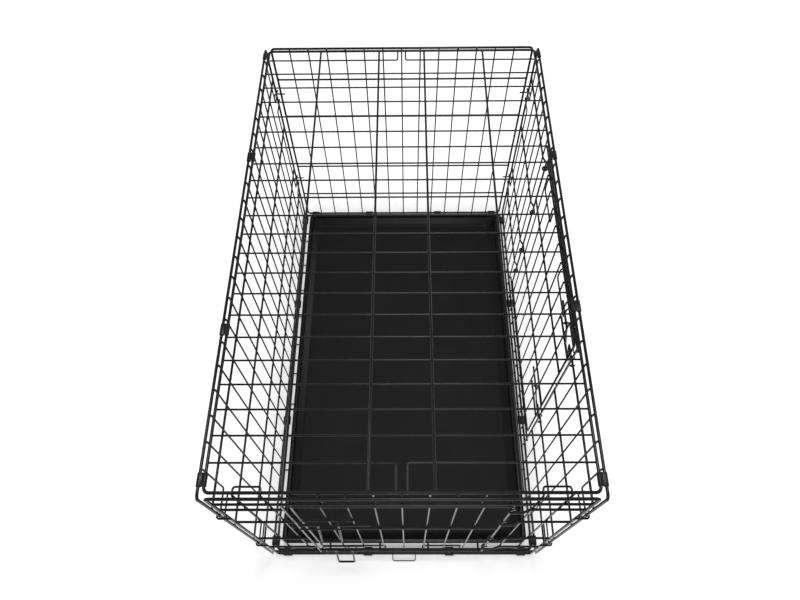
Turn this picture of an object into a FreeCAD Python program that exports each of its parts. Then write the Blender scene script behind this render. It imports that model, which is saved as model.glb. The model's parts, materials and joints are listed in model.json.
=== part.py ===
import FreeCAD, Part
import math
import os

from FreeCAD import Vector

# A folding wire dog cage, set up, with a door in its front and one in its right side.
# Millimetres. X runs across the cage, Y from the front to the back, Z up from the floor.

# The cage between the middles of its outer wires, and the height of its top wires
cage_length = 914.4
cage_width = 584.2
cage_height = 635.0

# Wire diameters: panel edges, stiffeners, mesh, door edges, and the small fittings
frame_wire = 4.9
long_wire = 4.1
mesh_wire = 3.1
door_wire = 4.1
hook_wire = 3.4
bolt_wire = 4.2
guide_wire = 2.4
tray_stop_wire = 2.0

# Spot welds: how deep crossing wires sink into each other, and how far a mesh wire passes its edge wire
weld = 0.05
overhang = 2.0

# Bends, measured to the middle of the wire
frame_bend = 8.0
mesh_bend = 4.0
bolt_bend = 4.0

# Two panels meet along an edge with their wires side by side and mesh between them, held by folded sheet
# clips. The cage stands on its lower clips, which are of thicker sheet. Some clips stand this many mesh
# gaps from the middle of their edge, and the others between the last wire and the corner.
pair_clearance = 0.3
end_clearance = 0.6
clip_wall = 0.9
foot_clip_wall = 2.0
clip_clearance = 0.3
clip_width = 19.5
clip_spacing = 0.4
clip_overlap = 1.5
top_clip_shift = 2.6
side_clip_steps = {
    "top_left": (-5, 4), "top_right": (-4, 4), "bottom_left": (-4, 4), "bottom_right": (-4, 4)}
end_clip_steps = {"front": (-2.0, 2.5), "rear": (-2.5, 2.5)}

# Mesh of each panel: how many wires, and where its stiffeners run, as shares of the cage's height or width
side_upright_count = 22
side_long_shares = (0.186, 0.351, 0.613, 0.863)
end_upright_count = 13
front_cross_shares = (0.183, 0.378, 0.682, 0.863)
rear_cross_shares = (0.164, 0.36, 0.668, 0.858)
end_side_gap = 11.0
top_cross_count = 22
top_front_gap = 42.6
top_rear_gap = 23.5
top_long_shares = (0.082, 0.295)
top_notch_half = 8.3
bottom_cross_count = 10
bottom_long_shares = (0.092, 0.282)

# Side hooks of the end panels, and the windows that the side panels leave for them
hook_shares = (0.271, 0.78)
hook_clearance = 0.5
hook_inboard = 8.0
hook_tail = 8.0
window_half = 15.0

# Loops at the top of the end panels, which lie over the top panel's end wires
loop_clearance = 0.5
loop_leg = 9.0
front_loop_reach = 16.0
front_loop_uprights = (5, 6)
rear_loop_reach = 12.5
rear_loop_uprights = (3, 4)

# Doors: how far their edges stay from the ends of the panel, and the wires around the opening
front_door_margin = 114.1
side_door_front_margin = 256.2
side_door_rear_margin = 260.2
header_drop = 43.0
header_gap = 15.0
sill_gap = 12.0
jamb_gap = 13.0
front_door_upright_count = 7
side_door_upright_count = 9
front_door_cross_shares = (0.575,)
side_door_cross_shares = (0.394, 0.693)

# Door stops: loops of mesh wire that keep the doors from swinging inwards, at these uprights from the middle
door_stop_uprights = (1, 3)
door_stop_reach = 36.0
door_stop_step = 6.0
door_stop_clearance = 0.5

# Hinges: the ends of the panel's stiffeners curl round the door's edge wire
hinge_clearance = 0.35
hinge_curl_angle = 280.0
hinge_jog = 12.0

# Slide bolts, drawn back: a straight rod with a hanging loop as its handle
front_bolt_shares = {"upper": 0.709, "lower": 0.205}
side_bolt_shares = {"upper": 0.811, "lower": 0.276}
bolt_clearance = 0.6
bolt_travel = 18.0
bolt_tip = 5.0
bolt_tail = 54.0
handle_width = 34.0
handle_drop = 80.0
handle_out = 14.0
handle_gap = 9.0
guide_gap = 8.0

# Tray: a plastic pan with a stepped wall and a rolled rim, which slides out under the front panel
tray_side_gap = 14.0
tray_front_gap = 8.6
tray_rear_gap = 15.6
tray_height = 26.0
tray_wall = 2.4
tray_corner = 15.0
tray_floor_corner = 15.0
tray_ledge = 16.0
tray_ledge_height = 15.0
tray_rim = 7.0
tray_rim_height = 4.0
tray_clearance = 0.5
slot_clearance = 3.0

# Tray stop: a wire loop on the front panel's lowest wire, laid forward
tray_stop_width = 50.0
tray_stop_reach = 14.5
tray_stop_clearance = 0.25

# Places that follow from the sizes above
pair_gap = frame_wire + mesh_wire + pair_clearance
end_gap = frame_wire + mesh_wire + end_clearance
clip_bore = frame_wire / 2 + clip_clearance
foot_clip_radius = clip_bore + foot_clip_wall
base_z = foot_clip_radius
top_z = cage_height
side_plane = cage_width / 2
side_half = cage_length / 2
flat_half_width = side_plane - pair_gap
flat_half_length = side_half - pair_gap
end_plane = flat_half_length + end_gap
end_half = side_plane - end_side_gap
side_long_heights = [cage_height * share for share in side_long_shares]
front_cross_heights = [cage_height * share for share in front_cross_shares]
rear_cross_heights = [cage_height * share for share in rear_cross_shares]
hook_heights = [cage_height * share for share in hook_shares]

# Layers of a panel, counted outwards from the middle of its edge wires
long_layer = (long_wire - frame_wire) / 2
mesh_layer = weld - (frame_wire + mesh_wire) / 2
door_mesh_layer = weld - (door_wire + mesh_wire) / 2
door_stop_layer = door_mesh_layer - mesh_wire - door_stop_clearance
hook_layer = (frame_wire + hook_wire) / 2 - weld

# Rings on the doors and jambs that the bolts slide through
guide_radius = bolt_wire / 2 + bolt_clearance + guide_wire / 2
bolt_layer = door_wire / 2 - weld + guide_radius + guide_wire / 2
guide_bar_layer = bolt_layer + guide_radius + guide_wire - weld
handle_setback = handle_gap + bolt_travel
guide_span = handle_setback + handle_width + guide_gap

# The tray lies on the clips and the cross wires, and passes under the sill
tray_width = 2 * (flat_half_width - tray_side_gap)
tray_length = 2 * flat_half_length - tray_front_gap - tray_rear_gap
tray_middle = (tray_front_gap - tray_rear_gap) / 2
tray_base = base_z + max(foot_clip_radius, mesh_wire / 2 - mesh_layer) + tray_clearance
tray_floor = tray_base + tray_wall
tray_top = tray_base + tray_height

# The doors' openings and edges
header_height = top_z - header_drop
sill_height = tray_top + slot_clearance + long_wire / 2
door_top = header_height - header_gap
door_bottom = sill_height + sill_gap
front_door_hinge = end_half - front_door_margin
front_door_free = -front_door_hinge
side_door_hinge = side_half - side_door_rear_margin
side_door_free = side_door_front_margin - side_half

# How far the fittings reach past the middle of the cage, which sets the origin under the whole object
hook_end = side_plane + frame_wire / 2 + hook_clearance + hook_wire / 2
handle_reach = bolt_layer + handle_out + bolt_wire / 2
reach_left = hook_end + hook_wire / 2
reach_right = side_plane + handle_reach
reach_front = end_plane + max(handle_reach, tray_stop_reach + tray_stop_wire / 2)
reach_rear = end_plane + hook_layer + hook_wire / 2
origin_shift = Vector((reach_left - reach_right) / 2, (reach_front - reach_rear) / 2, 0)

nodes = {}


class Panel:
    """A flat panel with its own axes: u along it, v across it, and out away from the cage."""

    def __init__(self, origin, u, v, out):
        self.origin = origin
        self.u = u
        self.v = v
        self.out = out

    def at(self, u, v, out):
        return self.origin + self.u * u + self.v * v + self.out * out


AXIS_X = Vector(1, 0, 0)
AXIS_Y = Vector(0, 1, 0)
AXIS_Z = Vector(0, 0, 1)
bottom = Panel(Vector(0, 0, base_z), AXIS_X, AXIS_Y, -AXIS_Z)
top = Panel(Vector(0, 0, top_z), AXIS_X, AXIS_Y, AXIS_Z)
left = Panel(Vector(-side_plane, 0, 0), AXIS_Y, AXIS_Z, -AXIS_X)
right = Panel(Vector(side_plane, 0, 0), AXIS_Y, AXIS_Z, AXIS_X)
front = Panel(Vector(0, -end_plane, 0), AXIS_X, AXIS_Z, -AXIS_Y)
rear = Panel(Vector(0, end_plane, 0), AXIS_X, AXIS_Z, AXIS_Y)


def rod(start, end, diameter):
    """A straight run of wire."""
    run = end - start
    return Part.makeCylinder(diameter / 2, run.Length, start, run)


def turn(start, direction, side, radius, angle, diameter):
    """A bend of wire: it leaves start along direction and turns towards side."""
    middle = start + side * radius
    axis = direction.cross(side)
    section = Part.Face(Part.Wire(Part.Circle(start, direction, diameter / 2).toShape()))
    return section.revolve(middle, axis, angle)


def bent_wire(points, diameter, bend, closed=False):
    """A wire along points, as straight runs and bends that meet face to face."""
    count = len(points)
    corners = range(count) if closed else range(1, count - 1)
    run_starts = {}
    run_ends = {}
    solids = []
    for i in corners:
        before = (points[i] - points[i - 1]).normalize()
        after = (points[(i + 1) % count] - points[i]).normalize()
        angle = before.getAngle(after)
        trim = bend * math.tan(angle / 2)
        run_ends[(i - 1) % count] = points[i] - before * trim
        run_starts[i] = points[i] + after * trim
        side = (after - before * before.dot(after)).normalize()
        solids.append(turn(run_ends[(i - 1) % count], before, side, bend, math.degrees(angle), diameter))
    for i in range(count if closed else count - 1):
        start = run_starts.get(i, points[i])
        end = run_ends.get(i, points[(i + 1) % count])
        solids.append(rod(start, end, diameter))
    return solids


def ring(middle, axis, radius, diameter):
    """A closed eye of wire."""
    return Part.makeTorus(radius, diameter / 2, middle, axis)


def edge_frame(panel, u_low, u_high, v_low, v_high, diameter):
    """The wire round a panel or a door, with rounded corners."""
    corners = ((u_low, v_low), (u_high, v_low), (u_high, v_high), (u_low, v_high))
    points = [panel.at(u, v, 0) for u, v in corners]
    return bent_wire(points, diameter, frame_bend, closed=True)


def mesh_wire_along_v(panel, u, v_low, v_high, layer=mesh_layer):
    return rod(panel.at(u, v_low, layer), panel.at(u, v_high, layer), mesh_wire)


def long_wire_along_u(panel, v, u_low, u_high, layer=long_layer):
    return rod(panel.at(u_low, v, layer), panel.at(u_high, v, layer), long_wire)


def even_places(count, half):
    """Places of count wires that divide a panel from -half to half into equal gaps."""
    pitch = 2 * half / (count + 1)
    return [pitch * (i + 1) - half for i in range(count)]


def butt(place, edge_diameter):
    """Where a wire that comes from the middle of a panel ends on an edge wire at place."""
    return place - edge_diameter / 2 + weld


# Bottom panel: edge wire, four stiffeners and cross wires that carry the tray
nodes["bottom_frame"] = edge_frame(
    bottom, -flat_half_width, flat_half_width, -flat_half_length, flat_half_length, frame_wire)
flat_long_end = butt(flat_half_length, frame_wire)
flat_mesh_end = flat_half_width + overhang
bottom_long_places = [side * share * cage_width for share in bottom_long_shares for side in (-1, 1)]
nodes["bottom_long_wires"] = [
    rod(bottom.at(u, -flat_long_end, long_layer), bottom.at(u, flat_long_end, long_layer), long_wire)
    for u in bottom_long_places]
side_places = even_places(side_upright_count, side_half)
side_pitch = side_places[1] - side_places[0]
bottom_cross_places = [
    2 * side_pitch * (i - (bottom_cross_count - 1) / 2) for i in range(bottom_cross_count)]
nodes["bottom_cross_wires"] = [
    rod(bottom.at(-flat_mesh_end, v, mesh_layer), bottom.at(flat_mesh_end, v, mesh_layer), mesh_wire)
    for v in bottom_cross_places]

# Top panel: its first and last cross wires turn towards the ends at the middle and leave a notch
nodes["top_frame"] = edge_frame(
    top, -flat_half_width, flat_half_width, -flat_half_length, flat_half_length, frame_wire)
top_long_places = [side * share * cage_width for share in top_long_shares for side in (-1, 1)]
nodes["top_long_wires"] = [
    rod(top.at(u, -flat_long_end, long_layer), top.at(u, flat_long_end, long_layer), long_wire)
    for u in top_long_places]
top_pitch = (2 * flat_half_length - top_front_gap - top_rear_gap) / (top_cross_count - 1)
top_places = [top_front_gap - flat_half_length + top_pitch * i for i in range(top_cross_count)]
nodes["top_cross_wires"] = [
    rod(top.at(-flat_mesh_end, v, mesh_layer), top.at(flat_mesh_end, v, mesh_layer), mesh_wire)
    for v in top_places[1:-1]]
nodes["top_notched_wires"] = []
for v in (top_places[0], top_places[-1]):
    end = math.copysign(flat_half_length + overhang, v)
    for side in (-1, 1):
        notch = [
            top.at(side * flat_mesh_end, v, mesh_layer),
            top.at(side * top_notch_half, v, mesh_layer),
            top.at(side * top_notch_half, end, mesh_layer)]
        nodes["top_notched_wires"] += bent_wire(notch, mesh_wire, mesh_bend)

# Side panels. The first and last uprights are cut by two windows for the end panels' hooks.
upright_low = base_z - overhang
upright_high = top_z + overhang
side_long_end = butt(side_half, frame_wire)


def window_wires(panel):
    solids = []
    for u in (side_places[0], side_places[-1]):
        edge = math.copysign(side_half + overhang, u)
        stops = [upright_low]
        for height in hook_heights:
            stops += [height - window_half, height + window_half]
        stops.append(upright_high)
        for low, high in zip(stops[0::2], stops[1::2]):
            points = [panel.at(u, low, mesh_layer), panel.at(u, high, mesh_layer)]
            if low != upright_low:
                points.insert(0, panel.at(edge, low, mesh_layer))
            if high != upright_high:
                points.append(panel.at(edge, high, mesh_layer))
            solids += bent_wire(points, mesh_wire, mesh_bend)
    return solids


for name, panel in (("left", left), ("right", right)):
    nodes[name + "_side_frame"] = edge_frame(panel, -side_half, side_half, base_z, top_z, frame_wire)
    nodes[name + "_side_window_wires"] = window_wires(panel)
nodes["left_side_upright_wires"] = [
    mesh_wire_along_v(left, u, upright_low, upright_high) for u in side_places[1:-1]]
nodes["left_side_long_wires"] = [
    long_wire_along_u(left, height, -side_long_end, side_long_end) for height in side_long_heights]

# Right side panel: its wires stop at the side door's opening, where two pairs turn into door stops
side_door_jamb = side_door_free - jamb_gap
side_middle = side_upright_count // 2
side_stop_places = [side_places[side_middle + step] for step in door_stop_uprights]
nodes["right_side_upright_wires"] = []
opening_uprights = []
for u in side_places[1:-1]:
    if side_door_jamb < u < side_door_hinge:
        opening_uprights.append(u)
        nodes["right_side_upright_wires"].append(
            mesh_wire_along_v(right, u, upright_low, sill_height + overhang))
        if all(abs(abs(u) - place) > mesh_wire for place in side_stop_places):
            nodes["right_side_upright_wires"].append(
                mesh_wire_along_v(right, u, header_height - overhang, upright_high))
    else:
        nodes["right_side_upright_wires"].append(mesh_wire_along_v(right, u, upright_low, upright_high))
surround_front = opening_uprights[0] - side_pitch - overhang
surround_rear = opening_uprights[-1] + side_pitch + overhang

# Hinge curls: a stiffener jogs outwards and curls round the door's edge wire
hinge_radius = door_wire / 2 + hinge_clearance + long_wire / 2


def hinge_wire(panel, height, far, hinge):
    jog_start = hinge + hinge_radius + 2 * hinge_jog
    points = [
        panel.at(far, height, long_layer),
        panel.at(jog_start, height, long_layer),
        panel.at(jog_start - hinge_jog, height, hinge_radius),
        panel.at(hinge, height, hinge_radius)]
    solids = bent_wire(points, long_wire, mesh_bend)
    solids.append(turn(points[-1], -panel.u, -panel.out, hinge_radius, hinge_curl_angle, long_wire))
    return solids


nodes["right_side_long_wires"] = []
nodes["side_door_hinge_wires"] = []
for height in side_long_heights:
    nodes["right_side_long_wires"].append(
        long_wire_along_u(right, height, -side_long_end, side_door_jamb + butt(0, door_wire)))
    nodes["side_door_hinge_wires"] += hinge_wire(right, height, side_long_end, side_door_hinge)


def surround(panel, low, high, jamb):
    """Header and sill over and under a door, and the jamb wire between them on its free side."""
    sill_top = sill_height + long_wire / 2 - weld
    header_bottom = header_height - long_wire / 2 + weld
    return [
        long_wire_along_u(panel, header_height, low, high),
        long_wire_along_u(panel, sill_height, low, high),
        rod(panel.at(jamb, sill_top, 0), panel.at(jamb, header_bottom, 0), door_wire)]


nodes["side_door_surround"] = surround(right, surround_front, surround_rear, side_door_jamb)


def door_stops(panel, places, start, edge, way):
    """Two loops that leave start, pass the edge wire of the opening and step inwards behind the door."""
    step_start = edge + way * overhang
    step_end = step_start + way * door_stop_step
    end = edge + way * door_stop_reach
    solids = []
    for side in (-1, 1):
        first, last = [side * place for place in places]
        points = [
            panel.at(first, start, mesh_layer),
            panel.at(first, step_start, mesh_layer),
            panel.at(first, step_end, door_stop_layer),
            panel.at(first, end, door_stop_layer),
            panel.at(last, end, door_stop_layer),
            panel.at(last, step_end, door_stop_layer),
            panel.at(last, step_start, mesh_layer),
            panel.at(last, start, mesh_layer)]
        solids += bent_wire(points, mesh_wire, mesh_bend)
    return solids


nodes["side_door_stops"] = door_stops(right, side_stop_places, upright_high, header_height, -1)

# End panels: edge wire, uprights, cross wires, hooks that grip the side panels and loops over the top
end_places = even_places(end_upright_count, end_half)
end_middle = end_upright_count // 2
end_long_end = butt(end_half, frame_wire)
loop_height = top_z + frame_wire / 2 + loop_clearance + mesh_wire / 2
loop_start = loop_height - loop_leg


def top_loops(panel, uprights, reach):
    solids = []
    for side in (-1, 1):
        u_first, u_last = [side * end_places[end_middle + step] for step in uprights]
        points = [
            panel.at(u_first, loop_start, mesh_layer),
            panel.at(u_first, loop_height, mesh_layer),
            panel.at(u_first, loop_height, -reach),
            panel.at(u_last, loop_height, -reach),
            panel.at(u_last, loop_height, mesh_layer),
            panel.at(u_last, loop_start, mesh_layer)]
        solids += bent_wire(points, mesh_wire, mesh_bend)
    return solids


def side_hooks(panel):
    solids = []
    for height in hook_heights:
        for side in (-1, 1):
            points = [
                panel.at(side * (end_half - hook_inboard), height, hook_layer),
                panel.at(side * hook_end, height, hook_layer),
                panel.at(side * hook_end, height, -hook_tail)]
            solids += bent_wire(points, hook_wire, mesh_bend)
    return solids


nodes["front_top_loops"] = top_loops(front, front_loop_uprights, front_loop_reach)
nodes["rear_top_loops"] = top_loops(rear, rear_loop_uprights, rear_loop_reach)
for name, panel in (("front", front), ("rear", rear)):
    nodes[name + "_frame"] = edge_frame(panel, -end_half, end_half, base_z, top_z, frame_wire)
    nodes[name + "_side_hooks"] = side_hooks(panel)

nodes["rear_upright_wires"] = []
for step, u in enumerate(end_places):
    high = loop_start if abs(step - end_middle) in rear_loop_uprights else upright_high
    nodes["rear_upright_wires"].append(mesh_wire_along_v(rear, u, upright_low, high))
nodes["rear_cross_wires"] = [
    long_wire_along_u(rear, height, -end_long_end, end_long_end) for height in rear_cross_heights]

# Front panel: open under the sill for the tray, and between the jamb and the hinge for the door
front_door_jamb = front_door_free - jamb_gap
nodes["front_upright_wires"] = []
for step, u in enumerate(end_places):
    steps_out = abs(step - end_middle)
    if not front_door_jamb < u < front_door_hinge:
        high = loop_start if steps_out in front_loop_uprights else upright_high
        nodes["front_upright_wires"].append(mesh_wire_along_v(front, u, sill_height - overhang, high))
    elif steps_out not in door_stop_uprights:
        nodes["front_upright_wires"].append(
            mesh_wire_along_v(front, u, header_height - overhang, upright_high))
nodes["front_door_surround"] = surround(front, -end_long_end, end_long_end, front_door_jamb)
front_stop_places = [end_places[end_middle + step] for step in door_stop_uprights]
nodes["front_door_stops"] = door_stops(front, front_stop_places, upright_high, header_height, -1)
nodes["front_door_stops"] += door_stops(
    front, front_stop_places, sill_height - overhang, sill_height, 1)
nodes["front_cross_wires"] = []
nodes["front_door_hinge_wires"] = []
for height in front_cross_heights:
    nodes["front_cross_wires"].append(
        long_wire_along_u(front, height, -end_long_end, front_door_jamb + butt(0, door_wire)))
    nodes["front_door_hinge_wires"] += hinge_wire(front, height, end_long_end, front_door_hinge)


# Doors, each with two slide bolts on its free edge and the rings on the jamb that take them
def door(name, panel, free, hinge, upright_count, cross_shares, bolt_shares):
    nodes[name + "_frame"] = edge_frame(panel, free, hinge, door_bottom, door_top, door_wire)
    middle = (free + hinge) / 2
    half = (hinge - free) / 2
    uprights = [middle + u for u in even_places(upright_count, half)]
    nodes[name + "_upright_wires"] = [
        mesh_wire_along_v(panel, u, door_bottom - overhang, door_top + overhang, door_mesh_layer)
        for u in uprights]
    cross_end = butt(half, door_wire)
    nodes[name + "_cross_wires"] = [
        long_wire_along_u(panel, cage_height * share, middle - cross_end, middle + cross_end, 0)
        for share in cross_shares]
    nodes[name + "_bolt_guides"] = []
    nodes[name + "_bolt_catches"] = []
    for place, share in bolt_shares.items():
        height = cage_height * share
        nodes[name + "_cross_wires"].append(
            long_wire_along_u(panel, height, middle - cross_end, uprights[1] + overhang, 0))
        for u in (free, free + guide_span):
            nodes[name + "_bolt_guides"].append(
                ring(panel.at(u, height, bolt_layer), panel.u, guide_radius, guide_wire))
        nodes[name + "_bolt_guides"].append(rod(
            panel.at(free - guide_wire / 2, height, guide_bar_layer),
            panel.at(free + guide_span + guide_wire / 2, height, guide_bar_layer), guide_wire))
        nodes[name + "_bolt_catches"].append(
            ring(panel.at(free - jamb_gap, height, bolt_layer), panel.u, guide_radius, guide_wire))
        nodes[name + "_" + place + "_bolt"] = slide_bolt(panel, free, height)


def slide_bolt(panel, free, height):
    """The rod from its tip, down and up round the handle, to its tail."""
    first_leg = free + handle_setback
    second_leg = first_leg + handle_width
    handle_end = height - handle_drop
    points = [
        panel.at(free - bolt_tip, height, bolt_layer),
        panel.at(first_leg, height, bolt_layer),
        panel.at(first_leg, handle_end, bolt_layer + handle_out),
        panel.at(second_leg, handle_end, bolt_layer + handle_out),
        panel.at(second_leg, height, bolt_layer),
        panel.at(second_leg + bolt_tail, height, bolt_layer)]
    return bent_wire(points, bolt_wire, bolt_bend)


door("front_door", front, front_door_free, front_door_hinge, front_door_upright_count,
     front_door_cross_shares, front_bolt_shares)
door("side_door", right, side_door_free, side_door_hinge, side_door_upright_count,
     side_door_cross_shares, side_bolt_shares)


# Clips: a folded band round two edge wires that lie side by side
def clip(first, second, along, wall, width):
    """first and second are the middles of the two wires, along points down the edge."""
    across = (second - first).normalize()
    rise = along.cross(across)

    def outline(radius):
        arcs = [
            Part.Arc(first + rise * radius, first - across * radius, first - rise * radius),
            Part.LineSegment(first - rise * radius, second - rise * radius),
            Part.Arc(second - rise * radius, second + across * radius, second + rise * radius),
            Part.LineSegment(second + rise * radius, first + rise * radius)]
        return Part.Face(Part.Wire([arc.toShape() for arc in arcs]))

    band = outline(clip_bore + wall).cut(outline(clip_bore)).Faces[0]
    band.translate(along * (-width / 2))
    return band.extrude(along * width)


def corner_clip(last_wire, corner):
    """Place and width of a clip between the last mesh wire and the corner's bend."""
    face = last_wire + math.copysign(mesh_wire / 2 + clip_spacing, last_wire)
    end = math.copysign(corner - frame_bend + clip_overlap, last_wire)
    return (face + end) / 2, min(clip_width, abs(end - face))


for level, z, wall, shift, cross_places in (
        ("top", top_z, clip_wall, top_clip_shift, top_places),
        ("bottom", base_z, foot_clip_wall, 0, bottom_cross_places)):
    first_wire = min(side_places[0], cross_places[0])
    last_wire = max(side_places[-1], cross_places[-1])
    corner_clips = [corner_clip(wire, flat_half_length) for wire in (first_wire, last_wire)]
    for name, sign in (("left", -1), ("right", 1)):
        edge = level + "_" + name
        clips = [(step * side_pitch + shift, clip_width) for step in side_clip_steps[edge]] + corner_clips
        nodes[edge + "_clips"] = [
            clip(Vector(sign * flat_half_width, y, z), Vector(sign * side_plane, y, z), AXIS_Y, wall, width)
            for y, width in clips]
end_pitch = end_places[1] - end_places[0]
for name, sign in (("front", -1), ("rear", 1)):
    inner = Vector(0, sign * flat_half_length, base_z)
    outer = Vector(0, sign * end_plane, base_z)
    clips = [(step * end_pitch, clip_width) for step in end_clip_steps[name]]
    clips += [corner_clip(wire, end_half) for wire in (end_places[0], end_places[-1])]
    nodes[name + "_clips"] = [
        clip(inner + AXIS_X * x, outer + AXIS_X * x, AXIS_X, foot_clip_wall, width) for x, width in clips]


# Tray
def rounded_block(width, length, corner, z_low, z_high):
    """An upright block with rounded corners, round the tray's middle."""
    corner_place = Vector(-width / 2, tray_middle - length / 2, z_low)
    block = Part.makeBox(width, length, z_high - z_low, corner_place)
    uprights = [edge for edge in block.Edges if abs(edge.tangentAt(edge.FirstParameter).z) > 0.5]
    return block.makeFillet(corner, uprights)


def tray_block(inset, corner, z_low, z_high):
    return rounded_block(tray_width - 2 * inset, tray_length - 2 * inset, corner, z_low, z_high)


ledge_z = tray_base + tray_ledge_height
ledge_inset = tray_rim + tray_ledge
lip_inset = tray_rim + tray_wall
tray = tray_block(ledge_inset, tray_floor_corner + tray_wall, tray_base, ledge_z)
tray = tray.fuse(tray_block(tray_rim, tray_corner - tray_rim, ledge_z - tray_wall, tray_top))
tray = tray.fuse(tray_block(0, tray_corner, tray_top - tray_rim_height, tray_top))
tray = tray.cut(tray_block(ledge_inset + tray_wall, tray_floor_corner, tray_floor, tray_top))
tray = tray.cut(tray_block(lip_inset, tray_corner - lip_inset, ledge_z, tray_top))
nodes["tray"] = tray.removeSplitter().Solids

# Tray stop: a loop with two eyes round the front panel's lowest wire
tray_stop_eye = frame_wire / 2 + tray_stop_clearance + tray_stop_wire / 2
tray_stop_start = tray_stop_eye + tray_stop_wire / 2 - weld
tray_stop_half = tray_stop_width / 2
nodes["tray_stop"] = bent_wire(
    [front.at(-tray_stop_half, base_z, tray_stop_start),
     front.at(-tray_stop_half, base_z, tray_stop_reach),
     front.at(tray_stop_half, base_z, tray_stop_reach),
     front.at(tray_stop_half, base_z, tray_stop_start)],
    tray_stop_wire, mesh_bend)
nodes["tray_stop"] += [
    ring(front.at(u, base_z, 0), front.u, tray_stop_eye, tray_stop_wire)
    for u in (-tray_stop_half, tray_stop_half)]

os.makedirs("parts", exist_ok=True)
for name, solids in nodes.items():
    shape = Part.makeCompound(solids)
    shape.translate(origin_shift)
    shape.exportStep("parts/" + name + ".step")
    print(name, len(shape.Solids), "solids", round(shape.Volume, 1), "mm3", shape.isValid())
print(len(nodes), "nodes, origin shift", origin_shift)
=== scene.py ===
# %% [markdown]
# # A folding wire dog cage
# Every wire, hinge, bolt and clip of the cage has its real place and size in the CAD model, which
# is loaded here as a fixed frame in metres.

# %% Load the cage
import json

import bpy
import numpy as np
from mathutils import Matrix, Vector


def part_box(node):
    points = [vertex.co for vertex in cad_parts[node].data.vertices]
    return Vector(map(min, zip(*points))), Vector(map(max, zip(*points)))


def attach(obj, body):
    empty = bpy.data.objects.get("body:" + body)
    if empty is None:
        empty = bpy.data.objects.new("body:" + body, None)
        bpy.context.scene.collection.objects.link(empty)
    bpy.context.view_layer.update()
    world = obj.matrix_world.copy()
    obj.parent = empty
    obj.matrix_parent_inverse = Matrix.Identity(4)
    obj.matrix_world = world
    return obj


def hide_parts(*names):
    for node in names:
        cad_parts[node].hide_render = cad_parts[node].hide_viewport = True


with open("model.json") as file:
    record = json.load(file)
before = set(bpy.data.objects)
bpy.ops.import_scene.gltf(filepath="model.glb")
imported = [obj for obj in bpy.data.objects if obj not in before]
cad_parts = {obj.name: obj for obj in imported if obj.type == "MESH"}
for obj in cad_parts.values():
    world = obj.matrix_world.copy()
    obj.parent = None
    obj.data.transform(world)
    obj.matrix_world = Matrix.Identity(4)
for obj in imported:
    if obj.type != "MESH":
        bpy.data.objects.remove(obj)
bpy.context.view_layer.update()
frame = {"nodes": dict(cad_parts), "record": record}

# %% [markdown]
# ## Black coating on the wires
# The welded panels are dipped in black paint that is laid on by an electric current and baked. It
# comes out as one thin, even, half-glossy film, a little fuller in some places than in others, with
# the fine waves of baked paint. A plain black would look like rubber. The film gets a slow change
# of tone, a roughness that wanders between glossy and satin, and waves under a millimetre long as a
# bump.

# %% Helpers that wire up a finish
def new_finish(name):
    """A new node material: gives the material and its Principled shader."""
    material = bpy.data.materials.new(name)
    material.use_nodes = True
    return material, material.node_tree.nodes["Principled BSDF"]


def grain(material, scale, detail):
    """A noise texture on Object coordinates, scale waves to the metre: gives its height output."""
    tree = material.node_tree
    place = tree.nodes.new("ShaderNodeTexCoord")
    noise = tree.nodes.new("ShaderNodeTexNoise")
    noise.inputs["Scale"].default_value = scale
    noise.inputs["Detail"].default_value = detail
    tree.links.new(place.outputs["Object"], noise.inputs["Vector"])
    return noise.outputs["Fac"]


def spread(material, height, socket, low, high):
    """Stretches the middle half of a height over low to high and feeds a number socket."""
    tree = material.node_tree
    stretch = tree.nodes.new("ShaderNodeMapRange")
    stretch.inputs["From Min"].default_value = 0.25
    stretch.inputs["From Max"].default_value = 0.75
    stretch.inputs["To Min"].default_value = low
    stretch.inputs["To Max"].default_value = high
    tree.links.new(height, stretch.inputs["Value"])
    tree.links.new(stretch.outputs["Result"], socket)


def tint(material, height, socket, dark, light):
    """Blends two colours by a height and feeds a colour socket."""
    tree = material.node_tree
    ramp = tree.nodes.new("ShaderNodeValToRGB")
    ramp.color_ramp.elements[0].position = 0.3
    ramp.color_ramp.elements[0].color = (*dark, 1.0)
    ramp.color_ramp.elements[1].position = 0.7
    ramp.color_ramp.elements[1].color = (*light, 1.0)
    tree.links.new(height, ramp.inputs["Fac"])
    tree.links.new(ramp.outputs["Color"], socket)


def emboss(material, height, shader, strength, depth):
    """Turns a height into a bump of that depth in metres: gives its node."""
    tree = material.node_tree
    bump = tree.nodes.new("ShaderNodeBump")
    bump.inputs["Strength"].default_value = strength
    bump.inputs["Distance"].default_value = depth
    tree.links.new(height, bump.inputs["Height"])
    tree.links.new(bump.outputs["Normal"], shader.inputs["Normal"])
    return bump


# %% Coating of the wires and of the clips
def dipped_coating(name, dark, light, gloss, satin):
    """Baked black paint: slow change of tone, wandering roughness, fine waves."""
    material, shader = new_finish(name)
    shader.inputs["Specular IOR Level"].default_value = 0.17
    tones = grain(material, scale=38.0, detail=2.0)
    patches = grain(material, scale=170.0, detail=3.0)
    waves = grain(material, scale=1400.0, detail=2.0)
    tint(material, tones, shader.inputs["Base Color"], dark, light)
    spread(material, patches, shader.inputs["Roughness"], gloss, satin)
    emboss(material, waves, shader, strength=0.25, depth=0.00004)
    return material


wire_coating = dipped_coating(
    "wire_coating", (0.002, 0.002, 0.0022), (0.005, 0.005, 0.0053), gloss=0.1, satin=0.2)
clip_coating = dipped_coating(
    "clip_coating", (0.003, 0.003, 0.0033), (0.007, 0.007, 0.0074), gloss=0.24, satin=0.4)
print("coatings", wire_coating.name, clip_coating.name)
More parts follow.
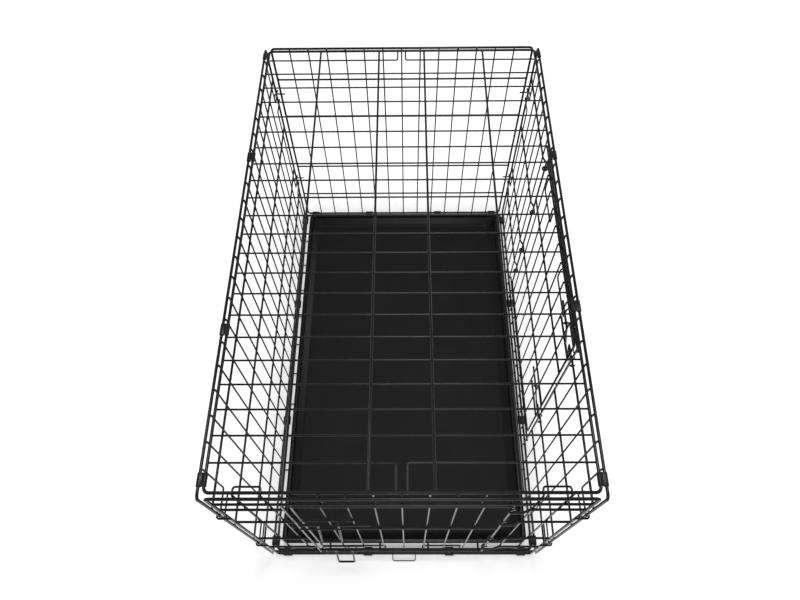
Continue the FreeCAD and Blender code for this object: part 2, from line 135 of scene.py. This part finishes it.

# %% [markdown]
# ## Coat the CAD wires and clips
# The wires and bolts already have their true round shapes, so they stay as they are and only their
# material slots change. The record says which slot each piece takes.

# %% Put the coatings on
finishes = {"black_wire": wire_coating, "clip_steel": clip_coating}
coated = [row for row in frame["record"]["subparts"] if row["material_slot"] in finishes]
for row in coated:
    frame["nodes"][row["node"]].data.materials[0] = finishes[row["material_slot"]]
print(len(coated), "pieces coated")

# %% [markdown]
# ## Tray
# The floor pan is pressed from one sheet of black plastic: a flat floor, a wall that slopes at 45
# degrees so that the pan comes off its mould, a short upright lip and a flat rim, with round
# corners. All of it follows one outline, so it is made as a profile carried round a rounded
# rectangle. Each ring of it is a rectangle of its own size with corners of its own radius, because
# the floor's corners are as wide as the rim's although they lie further in.

# %% Profile of the tray
tray_low, tray_high = [np.array(corner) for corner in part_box("tray")]
tray_middle = (tray_low + tray_high) / 2
tray_half = (tray_high - tray_low)[:2] / 2
sheet = 0.0024
rim_width = 0.007
rim_height = 0.004
rim_corner = 0.015
lip_corner = 0.011
lip_drop = 0.006
floor_corner = 0.015
floor_margin = 0.006


def rounded_corners(points, reaches, steps):
    """Rounds the corners of a path: each becomes the curve that leaves one run and joins the other
    at the same reach from the corner, as the blend (1-t)^2, 2t(1-t), t^2 of start, corner and
    end."""
    corner = points[1:-1]
    before = points[:-2] - corner
    after = points[2:] - corner
    before /= np.linalg.norm(before, axis=1, keepdims=True)
    after /= np.linalg.norm(after, axis=1, keepdims=True)
    start = (corner + reaches[:, None] * before)[:, None]
    end = (corner + reaches[:, None] * after)[:, None]
    t = np.linspace(0.0, 1.0, steps)[None, :, None]
    curves = (1 - t) ** 2 * start + 2 * t * (1 - t) * corner[:, None] + t ** 2 * end
    return curves.reshape(-1, 2)


# Corners as inset from the rim's outer edge and height: out along the underside, back along the
# top. Where the sheet turns by 45 degrees, its two sides turn a mitre apart.
base_z, top_z = tray_low[2], tray_high[2]
floor_z = base_z + sheet
slope_z = top_z - lip_drop
lip_inset = rim_width + sheet
foot_inset = lip_inset + slope_z - floor_z
floor_inset = foot_inset + floor_margin
mitre = sheet * np.tan(np.pi / 8)
profile_corners = np.array([
    (floor_inset, base_z),
    (foot_inset - mitre, base_z),
    (rim_width, slope_z - mitre),
    (rim_width, top_z - rim_height),
    (0.0, top_z - rim_height),
    (0.0, top_z),
    (lip_inset, top_z),
    (lip_inset, slope_z),
    (foot_inset, floor_z),
    (floor_inset, floor_z)])
corner_reaches = np.array([4.0, 1.4, 1.2, 1.6, 2.3, 2.8, 2.6, 6.0]) / 1000
tray_profile = rounded_corners(profile_corners, corner_reaches, steps=7)
print(len(tray_profile), "rings, from", tray_profile[0], "to", tray_profile[-1])

# %% Carry the profile round the tray
def round_outline(corner_steps, side_steps):
    """Places and outward directions round a square from -1 to 1: the direction turns a quarter at
    each corner, and stays still while the place runs along a side."""
    turn = np.linspace(0.0, np.pi / 2, corner_steps)
    angles = np.arange(4)[:, None] * np.pi / 2 + turn
    corners = np.array([(1, 1), (-1, 1), (-1, -1), (1, -1)])
    at_corner = np.repeat(corners[:, None], corner_steps, axis=1)
    out_at_corner = np.stack([np.cos(angles), np.sin(angles)], axis=2)
    along = np.linspace(0.0, 1.0, side_steps + 2)[1:-1][None, :, None]
    on_side = corners[:, None] * (1 - along) + np.roll(corners, -1, axis=0)[:, None] * along
    out_on_side = np.repeat(out_at_corner[:, -1:], side_steps, axis=1)
    places = np.concatenate([at_corner, on_side], axis=1).reshape(-1, 2)
    outward = np.concatenate([out_at_corner, out_on_side], axis=1).reshape(-1, 2)
    return places, outward


def capped_rings(rings):
    """Joins closed rings into one skin: quads between neighbours, and a fan from a middle point at
    each end. Gives vertices, quads and triangles."""
    ring_count, ring_size = rings.shape[:2]
    vertices = np.concatenate([rings.reshape(-1, 3), rings[[0, -1]].mean(axis=1)])
    around = np.arange(ring_size)
    start = np.arange(ring_count - 1)[:, None] * ring_size
    here = start + around
    there = start + np.roll(around, -1)
    quads = np.stack([here, there, there + ring_size, here + ring_size], axis=2)
    middle = np.full(ring_size, ring_count * ring_size)
    low_fan = np.stack([there[0], here[0], middle], axis=1)
    high_fan = np.stack([here[-1] + ring_size, there[-1] + ring_size, middle + 1], axis=1)
    return vertices, quads.reshape(-1, 4), np.concatenate([low_fan, high_fan])


def new_piece(name, vertices, quads, triangles, material):
    """A smooth-shaded mesh object at the origin with its place in its vertices."""
    mesh = bpy.data.meshes.new(name)
    mesh.from_pydata(vertices, [], quads.tolist() + triangles.tolist())
    mesh.polygons.foreach_set("use_smooth", np.ones(len(mesh.polygons), bool))
    mesh.materials.append(material)
    mesh.validate()
    piece = bpy.data.objects.new(name, mesh)
    bpy.context.scene.collection.objects.link(piece)
    return piece


places, outward = round_outline(corner_steps=14, side_steps=40)
ring_inset, ring_height = tray_profile.T
ring_corner = np.interp(
    ring_inset,
    (0.0, rim_width, lip_inset, foot_inset, floor_inset),
    (rim_corner, lip_corner, lip_corner, floor_corner, floor_corner - floor_margin))[:, None, None]
ring_half = tray_half - ring_inset[:, None, None] - ring_corner
flat_rings = tray_middle[:2] + ring_half * places + ring_corner * outward
heights = np.repeat(ring_height[:, None, None], len(places), axis=1)
tray_rings = np.concatenate([flat_rings, heights], axis=2)
print("tray rings", tray_rings.shape)

# %% [markdown]
# ## Plastic of the tray
# The pan is black plastic with a fine leather-like grain pressed into it, so it looks satin and a
# little grey. The rim and the sloped wall are rubbed smoother by hands and by wiping. The grain is
# a cell pattern under two millimetres wide as a bump. How rubbed a ring is goes with its place on
# the profile, so it is stored on the mesh as an attribute, which drives the roughness and flattens
# the grain.

# %% Grained black plastic
grain_strength = 0.5


def grained_plastic():
    """Black plastic: pressed cell grain, slow change of tone, smoother where the attribute says
    rubbed."""
    material, shader = new_finish("tray_plastic_grain")
    tree = material.node_tree
    shader.inputs["Specular IOR Level"].default_value = 0.115
    tones = grain(material, scale=16.0, detail=4.0)
    dark, light = (0.0022, 0.0022, 0.0024), (0.0046, 0.0046, 0.0049)
    tint(material, tones, shader.inputs["Base Color"], dark, light)
    place = tree.nodes.new("ShaderNodeTexCoord")
    cells = tree.nodes.new("ShaderNodeTexVoronoi")
    cells.inputs["Scale"].default_value = 620.0
    tree.links.new(place.outputs["Object"], cells.inputs["Vector"])
    bump = emboss(material, cells.outputs["Distance"], shader, grain_strength, depth=0.00025)
    rubbed = tree.nodes.new("ShaderNodeAttribute")
    rubbed.attribute_name = "rubbed"
    spread(material, rubbed.outputs["Fac"], shader.inputs["Roughness"], low=0.52, high=0.27)
    spread(material, rubbed.outputs["Fac"], bump.inputs["Strength"], low=grain_strength, high=0.06)
    return material


crest_depth = 0.0016
slope_rub = 0.75
tray_plastic = grained_plastic()
tray = new_piece("tray_pan", *capped_rings(tray_rings), tray_plastic)
crest = np.exp(-((ring_height - top_z) / crest_depth) ** 2)
on_slope = (ring_inset > lip_inset) & (ring_inset < foot_inset) & (ring_height > floor_z)
ring_rub = np.maximum(crest, slope_rub * on_slope)
rubbed = np.concatenate([np.repeat(ring_rub, len(places)), [0.0, 0.0]])
rub_layer = tray.data.attributes.new("rubbed", "FLOAT", "POINT")
rub_layer.data.foreach_set("value", rubbed.astype(np.float32))
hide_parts("tray")
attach(tray, "tray")
print("tray", len(tray.data.polygons), "faces")

# %% [markdown]
# ## Welds and cut ends
# Each crossing of the mesh is spot welded: the wires sink into each other, a little metal is
# squeezed out round the contact, and the paint rounds it off. Over a cut wire end the paint draws a
# low dome. Both are squashed balls, so one function makes all of them at once, with few faces each
# because there are hundreds. Their places are measured on the CAD wires: the boxes of two wires
# overlap by a hair just where they are welded.

# %% Boxes of the wires
hinge_curl = 0.0345


def node_points(name):
    """All points of a CAD piece as rows of x, y and z."""
    mesh = frame["nodes"][name].data
    points = np.empty(3 * len(mesh.vertices))
    mesh.vertices.foreach_get("co", points)
    return points.reshape(-1, 3)


def wire_boxes(name, count):
    """Low and high corner of each wire of a node, whose mesh holds count equal wires one after
    another. The curl at the low end of a hinge wire is left out."""
    points = node_points(name).reshape(count, -1, 3)
    along = points[..., np.ptp(points[0], axis=0).argmax()]
    curl = hinge_curl if "hinge" in name else 0.0
    straight = (along >= along.min(axis=1, keepdims=True) + curl)[..., None]
    low = np.where(straight, points, np.inf).min(axis=1)
    high = np.where(straight, points, -np.inf).max(axis=1)
    return np.stack([low, high], axis=1)


def all_boxes(counts):
    """Boxes of all wires of several nodes."""
    return np.concatenate([wire_boxes(name, count) for name, count in counts.items()])


def frame_sides(name):
    """Boxes of the four sides of an edge wire: the whole box, cut down to one wire's width at each
    side."""
    box = np.array(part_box(name))
    size = box[1] - box[0]
    thickness = size.min()
    across = np.argsort(size)[1:]
    sides = np.repeat(box[None], 4, axis=0)
    sides[[0, 1], 1, across] = box[0, across] + thickness
    sides[[2, 3], 0, across] = box[1, across] - thickness
    return sides


# Each panel: its edge wire, its mesh wires, and the wires that these are welded to, with counts
cage_panels = (
    ("bottom_frame", {"bottom_cross_wires": 10}, {"bottom_long_wires": 4}),
    ("top_frame", {"top_cross_wires": 20}, {"top_long_wires": 4}),
    ("left_side_frame", {"left_side_upright_wires": 20}, {"left_side_long_wires": 4}),
    ("right_side_frame", {"right_side_upright_wires": 26},
     {"right_side_long_wires": 4, "side_door_surround": 3, "side_door_hinge_wires": 4}),
    ("front_frame", {"front_upright_wires": 9},
     {"front_cross_wires": 4, "front_door_surround": 3, "front_door_hinge_wires": 4}),
    ("rear_frame", {"rear_upright_wires": 13}, {"rear_cross_wires": 4}))
front_door_panels = (
    ("front_door_frame", {"front_door_upright_wires": 7}, {"front_door_cross_wires": 3}),)
side_door_panels = (
    ("side_door_frame", {"side_door_upright_wires": 9}, {"side_door_cross_wires": 4}),)
print(len(cage_panels), "panels and two doors")

# %% Squashed balls on a panel
bead_share = 0.64
weld_thickness = 0.0009
dome_height = 0.0007
ball_sides = 8
ball_latitudes = np.radians([-60, -30, 0, 30, 60])[:, None]


def weld_beads(mesh_boxes, other_boxes):
    """Middle, axis and radius of a bead at each shared box: the axis is its thin side, and the
    radius goes with its narrower other side."""
    low = np.maximum(mesh_boxes[:, None, 0], other_boxes[None, :, 0])
    high = np.minimum(mesh_boxes[:, None, 1], other_boxes[None, :, 1])
    size = high - low
    welded = (size > 0).all(axis=2)
    sizes = size[welded]
    radii = bead_share * np.sort(sizes, axis=1)[:, 1]
    return (low + high)[welded] / 2, sizes.argmin(axis=1), radii


def end_domes(boxes):
    """Middle, axis and radius of the two ends of each straight wire, whose axis is its box's long
    side."""
    size = boxes[:, 1] - boxes[:, 0]
    axes = size.argmax(axis=1)
    ends = np.repeat(boxes.mean(axis=1)[None], 2, axis=0)
    rows = np.arange(len(boxes))
    ends[:, rows, axes] = boxes[rows, :, axes].T
    return ends.reshape(-1, 3), np.tile(axes, 2), np.tile(size.min(axis=1) / 2, 2)


def squashed_balls(middles, axes, radii, thickness):
    """Balls squashed along their axes: thickness times the sine of the latitude along the axis, and
    radius times its cosine round it. Gives vertices, quads and triangles of all of them."""
    turn = np.arange(ball_sides) * 2 * np.pi / ball_sides
    rings = np.stack([
        np.sin(ball_latitudes) * np.ones(ball_sides),
        np.cos(ball_latitudes) * np.cos(turn),
        np.cos(ball_latitudes) * np.sin(turn)], axis=2)
    ball, quads, triangles = capped_rings(rings)
    directions = np.eye(3)[(axes[:, None] + np.arange(3)) % 3]
    stretch = np.stack([np.full(len(radii), thickness), radii, radii], axis=1)
    vertices = middles[:, None] + np.einsum("vk,nk,nkd->nvd", ball, stretch, directions)
    first = len(ball) * np.arange(len(middles))[:, None, None]
    quads, triangles = quads + first, triangles + first
    return vertices.reshape(-1, 3), quads.reshape(-1, 4), triangles.reshape(-1, 3)


def joined(skins):
    """One skin from several: all vertices in a row, and the faces' numbers moved on to match."""
    vertices, quads, triangles = zip(*skins)
    starts = np.cumsum([0] + [len(points) for points in vertices[:-1]])
    return (
        np.concatenate(vertices),
        np.concatenate([faces + start for faces, start in zip(quads, starts)]),
        np.concatenate([faces + start for faces, start in zip(triangles, starts)]))


def welds_of(panels):
    """All weld beads and end domes of some panels, as one skin."""
    skins = []
    for frame_name, mesh_counts, other_counts in panels:
        mesh_boxes = all_boxes(mesh_counts)
        other_boxes = all_boxes(other_counts)
        edges = frame_sides(frame_name)
        mesh_beads = weld_beads(mesh_boxes, np.concatenate([other_boxes, edges]))
        skins.append(squashed_balls(*mesh_beads, weld_thickness))
        skins.append(squashed_balls(*weld_beads(other_boxes, edges), weld_thickness))
        skins.append(squashed_balls(*end_domes(mesh_boxes), dome_height))
    return joined(skins)


for body, panels in (
        ("cage", cage_panels), ("front_door", front_door_panels), ("side_door", side_door_panels)):
    welds = new_piece(body + "_welds", *welds_of(panels), wire_coating)
    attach(welds, body)
    print(welds.name, len(welds.data.polygons), "faces")

# %% [markdown]
# ## Clips
# A clip is a strip of sheet steel that is bent round the two edge wires and squeezed shut, so it
# has soft edges, a waist between the wires and a seam on its inner side. The CAD clips are plain
# sleeves. Here the strip's rounded cross-section is carried along its bent path, from one side of
# the seam to the other. The lower clips are of thicker sheet, because the cage stands on them.

# %% Path and strip of a clip
seam_gap = 0.0008
waist = 0.0007
run_steps = 7
arc_steps = 13
edge_share = 0.45


def clip_path(half_gap, radius, seam_side):
    """Points of a strip round two wires, as places across and up: along the seamed side, round one
    wire, along the plain side, round the other and back to the seam. Both sides dip by the squared
    cosine."""
    run = np.linspace(seam_gap / 2, half_gap, run_steps)[:-1]
    arc = np.linspace(-np.pi / 2, np.pi / 2, arc_steps)
    back = np.linspace(half_gap, -half_gap, 2 * run_steps - 1)[1:-1]
    right = np.stack([half_gap + radius * np.cos(arc), radius * np.sin(arc)], axis=1)
    seamed = np.stack([run, waist * np.cos(np.pi / 2 * run / half_gap) ** 2 - radius], axis=1)
    plain = np.stack([back, radius - waist * np.cos(np.pi / 2 * back / half_gap) ** 2], axis=1)
    mirror = np.array([-1, 1])
    path = np.concatenate([seamed, right, plain, (right * mirror)[::-1], (seamed * mirror)[::-1]])
    return -seam_side * path


def strip_rings(path, thickness, width):
    """Rounded cross-sections of a strip along a path: each point moves along the path's outward
    normal by the section's first number. The second runs along the edge wires."""
    ahead = np.gradient(path, axis=0)
    ahead /= np.linalg.norm(ahead, axis=1, keepdims=True)
    normal = np.stack([ahead[:, 1], -ahead[:, 0]], axis=1)
    places, outward = round_outline(corner_steps=4, side_steps=0)
    edge = edge_share * thickness
    section = places * (np.array([thickness, width]) / 2 - edge) + edge * outward
    flat = path[:, None] + section[None, :, :1] * normal[:, None]
    along = np.repeat(section[None, :, 1:], len(path), axis=0)
    return np.concatenate([flat, along], axis=2)


print("clip path of", len(clip_path(half_gap=0.004, radius=0.003, seam_side=1)), "points")

# %% Clips on every edge
seam_sides = {
    "top_left_clips": -1, "top_right_clips": -1, "bottom_left_clips": 1, "bottom_right_clips": 1,
    "front_clips": 1, "rear_clips": 1}
upper_clip_sheet = 0.0009
lower_clip_sheet = 0.002
parting = 0.03


def clip_spans(name, along):
    """Middle and width of each clip of a node along its edge: its points are sorted, and a step
    wider than the parting divides one clip from the next."""
    places = np.sort(node_points(name)[:, along])
    parted = np.flatnonzero(np.diff(places) > parting)
    low = places[np.concatenate([[0], parted + 1])]
    high = places[np.concatenate([parted, [-1]])]
    return (low + high) / 2, high - low


for name, seam_side in seam_sides.items():
    box = np.array(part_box(name))
    size = box[1] - box[0]
    along = size.argmax()
    across = 1 - along
    # On an edge along x the strip's width runs the other way, so that its faces look outwards there
    width_sign = 1 if along == 1 else -1
    thickness = upper_clip_sheet if name.startswith("top") else lower_clip_sheet
    outer = size[2] / 2
    path = clip_path(size[across] / 2 - outer, outer - thickness / 2, seam_side)
    skins = []
    for middle, width in zip(*clip_spans(name, along)):
        strip = strip_rings(path, thickness, width)
        rings = np.empty_like(strip)
        rings[:, :, across] = strip[:, :, 0] + box[:, across].mean()
        rings[:, :, 2] = strip[:, :, 1] + box[:, 2].mean()
        rings[:, :, along] = strip[:, :, 2] * width_sign + middle
        skins.append(capped_rings(rings))
    clips = new_piece(name[:-1] + "_bands", *joined(skins), clip_coating)
    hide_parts(name)
    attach(clips, "cage")
    print(clips.name, len(skins), "clips")

# %% [markdown]
# ## Floor
# The cage stands on a seamless white studio floor. One large pale sheet is enough. It catches the
# soft shadow, and the glossy wires mirror it, which gives the upright wires their bright streaks.
# Far from the lamps it would turn grey and show its edge, so its own faint white, which only seen
# rays meet, grows with the distance from the cage.

# %% Pale floor
def seen_rays(tree):
    """One for rays from the camera and for rays seen in gloss or through glass, nought for the
    rest."""
    rays = tree.nodes.new("ShaderNodeLightPath")
    total = rays.outputs["Is Camera Ray"]
    for kind in ("Is Glossy Ray", "Is Transmission Ray"):
        largest = tree.nodes.new("ShaderNodeMath")
        largest.operation = "MAXIMUM"
        tree.links.new(total, largest.inputs[0])
        tree.links.new(rays.outputs[kind], largest.inputs[1])
        total = largest.outputs[0]
    return total


floor_paper, floor_shader = new_finish("floor_paper")
floor_tree = floor_paper.node_tree
floor_tones = grain(floor_paper, scale=3.0, detail=2.0)
floor_colours = (0.93, 0.93, 0.93), (0.96, 0.96, 0.96)
tint(floor_paper, floor_tones, floor_shader.inputs["Base Color"], *floor_colours)
floor_shader.inputs["Roughness"].default_value = 0.85
floor_shader.inputs["Emission Color"].default_value = (1.0, 1.0, 1.0, 1.0)
floor_place = floor_tree.nodes.new("ShaderNodeTexCoord")
distance = floor_tree.nodes.new("ShaderNodeVectorMath")
distance.operation = "LENGTH"
white_lift = floor_tree.nodes.new("ShaderNodeMapRange")
white_lift.inputs["From Min"].default_value = 1.2
white_lift.inputs["From Max"].default_value = 4.5
white_lift.inputs["To Min"].default_value = 0.28
white_lift.inputs["To Max"].default_value = 0.42
seen_lift = floor_tree.nodes.new("ShaderNodeMath")
seen_lift.operation = "MULTIPLY"
floor_tree.links.new(floor_place.outputs["Object"], distance.inputs[0])
floor_tree.links.new(distance.outputs["Value"], white_lift.inputs["Value"])
floor_tree.links.new(white_lift.outputs["Result"], seen_lift.inputs[0])
floor_tree.links.new(seen_rays(floor_tree), seen_lift.inputs[1])
floor_tree.links.new(seen_lift.outputs[0], floor_shader.inputs["Emission Strength"])

floor_half = 14.0
floor_corners = floor_half * np.array([(-1, -1, 0), (1, -1, 0), (1, 1, 0), (-1, 1, 0)])
one_quad, no_triangles = np.array([(0, 1, 2, 3)]), np.empty((0, 3), int)
floor = new_piece("floor_sheet", floor_corners, one_quad, no_triangles, floor_paper)
print("floor", 2 * floor_half, "m wide")

# %% [markdown]
# ## Light
# The photograph has even white light from all round and hardly any shadow. The world gives that
# light at a plain level and shows itself white to the camera and in reflections. A lamp overhead
# adds a soft direction and the fine bright lines along the wires. Two weaker ones stand where the
# sloped wall of the tray mirrors them: one in front for its rear side, and one at the right for its
# left side.

# %% Studio light
cage_middle = Vector((0.0, 0.0, 0.3))


def soft_lamp(name, place, size, power):
    """A square area lamp at place that faces the middle of the cage."""
    lamp = bpy.data.lights.new(name, "AREA")
    lamp.size = size
    lamp.energy = power
    holder = bpy.data.objects.new(name, lamp)
    holder.location = place
    holder.rotation_euler = (cage_middle - Vector(place)).to_track_quat("-Z", "Y").to_euler()
    bpy.context.scene.collection.objects.link(holder)
    return holder


world = bpy.data.worlds.new("studio")
world.use_nodes = True
bpy.context.scene.world = world
world_tree = world.node_tree
backdrop = world_tree.nodes["Background"]
backdrop.inputs["Color"].default_value = (1.0, 1.0, 1.0, 1.0)
level = world_tree.nodes.new("ShaderNodeMapRange")
level.inputs["To Min"].default_value = 0.6
level.inputs["To Max"].default_value = 1.0
world_tree.links.new(seen_rays(world_tree), level.inputs["Value"])
world_tree.links.new(level.outputs["Result"], backdrop.inputs["Strength"])
lamps = [
    soft_lamp("overhead_lamp", (0.1, 0.2, 3.4), size=0.7, power=34.0),
    soft_lamp("front_lamp", (0.2, -3.0, 2.3), size=0.9, power=14.0),
    soft_lamp("right_lamp", (2.6, 1.4, 0.7), size=0.9, power=8.0)]
print("lamps", [lamp.name for lamp in lamps])

# %% [markdown]
# ## Camera
# The photograph looks down into the cage from above its front door. The place, tilt and lens were
# found by fitting the box's eight corners to the picture. The picture is cut so that the lens axis
# lies a little above its middle, and the camera's shift repeats that cut.

# %% Camera at the photograph's place
eye = Vector((-0.0003, -0.6278, 1.6233))
tilt_down, pan, roll = 1.016, -0.018, -0.02
focal_pixels, axis_row = 660.1, 238.9
image_width, image_height = 800, 600
forward = Vector((
    np.sin(pan) * np.cos(tilt_down), np.cos(pan) * np.cos(tilt_down), -np.sin(tilt_down)))
level_right = Vector((np.cos(pan), -np.sin(pan), 0.0))
level_up = level_right.cross(forward)
right = np.cos(roll) * level_right + np.sin(roll) * level_up
up = np.cos(roll) * level_up - np.sin(roll) * level_right
turn = Matrix((right, up, -forward)).transposed().to_4x4()
camera_data = bpy.data.cameras.new("camera")
camera_data.sensor_width = 36.0
camera_data.lens = focal_pixels * camera_data.sensor_width / image_width
camera_data.shift_y = (axis_row - image_height / 2) / image_width
camera = bpy.data.objects.new("camera", camera_data)
camera.matrix_world = Matrix.Translation(eye) @ turn
bpy.context.scene.collection.objects.link(camera)
bpy.context.scene.camera = camera
bpy.context.scene.view_settings.view_transform = "Standard"
print("lens", round(camera_data.lens, 2), "mm, shift", round(camera_data.shift_y, 4))
